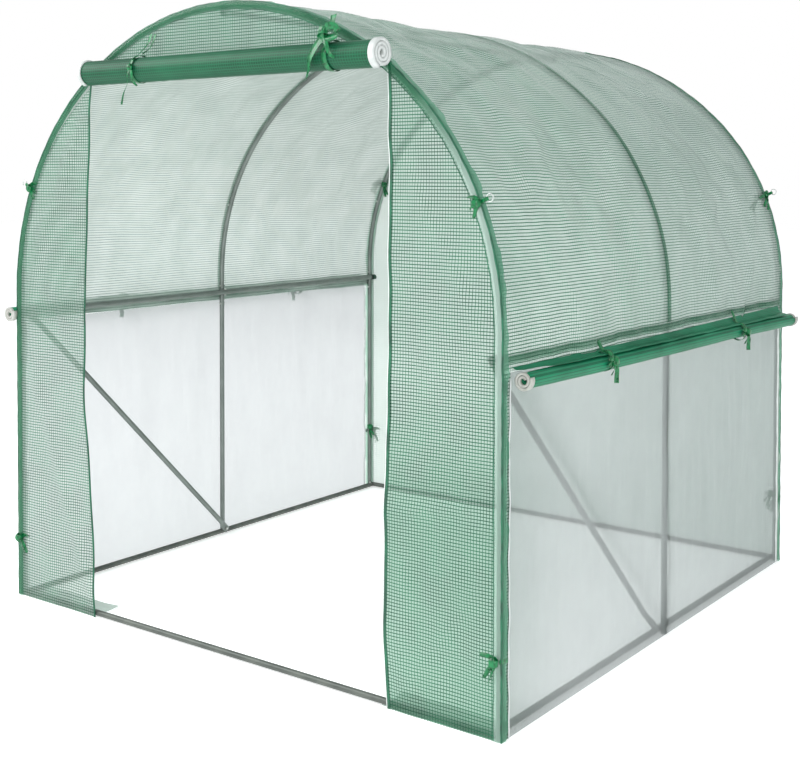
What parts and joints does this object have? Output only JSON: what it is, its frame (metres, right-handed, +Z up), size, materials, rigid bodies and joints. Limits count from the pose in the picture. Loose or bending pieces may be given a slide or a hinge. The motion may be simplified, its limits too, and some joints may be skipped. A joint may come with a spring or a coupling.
{
  "type": "walk-in polytunnel greenhouse",
  "caption": "Walk-in polytunnel with arched steel tube hoops, gridded film cover, rolled-up door, netted sides and rolled side curtains.",
  "frame": {"origin": "ground level, middle of the footprint's bounding box", "axes": "+X to the right seen from in front of the door, +Y to the back wall, +Z up"},
  "size_m": [2.1084, 2.1187, 2.0023],
  "materials": {
    "steel_tube": "galvanised steel tube, dull grey-green, satin",
    "roof_film": "woven grid polyethylene film, green threads, slight sheen",
    "wall_film": "woven grid polyethylene film, green threads, slight sheen",
    "rolled_film": "many layers of gridded film, dark green, satin",
    "net": "fine white insect net, matt",
    "tie": "woven green tape, matt",
    "guy_ring": "white ring on green tape"
  },
  "bodies": {
    "root": {"curtain_ties": "tie", "door_roll": "rolled_film", "door_ties": "tie", "front_crown": "steel_tube", "front_gable_film": "wall_film", "front_left_bend": "steel_tube", "front_left_ground_bar": "steel_tube", "front_left_leg": "steel_tube", "front_left_panel": "wall_film", "front_left_rail": "steel_tube", "front_ridge": "steel_tube", "front_right_bend": "steel_tube", "front_right_ground_bar": "steel_tube", "front_right_leg": "steel_tube", "front_right_panel": "wall_film", "front_right_rail": "steel_tube", "guy_rings": "guy_ring", "left_brace": "steel_tube", "left_curtain_roll": "rolled_film", "left_ground_bar": "steel_tube", "left_side_net": "net", "leg_tapes": "tie", "middle_crown": "steel_tube", "middle_left_bend": "steel_tube", "middle_left_leg": "steel_tube", "middle_right_bend": "steel_tube", "middle_right_leg": "steel_tube", "rear_crown": "steel_tube", "rear_left_bend": "steel_tube", "rear_left_ground_bar": "steel_tube", "rear_left_leg": "steel_tube", "rear_left_rail": "steel_tube", "rear_ridge": "steel_tube", "rear_right_bend": "steel_tube", "rear_right_ground_bar": "steel_tube", "rear_right_leg": "steel_tube", "rear_right_rail": "steel_tube", "rear_wall_film": "wall_film", "right_brace": "steel_tube", "right_curtain_roll": "rolled_film", "right_ground_bar": "steel_tube", "right_side_net": "net", "roof_film": "roof_film"}
  },
  "joints": []
}
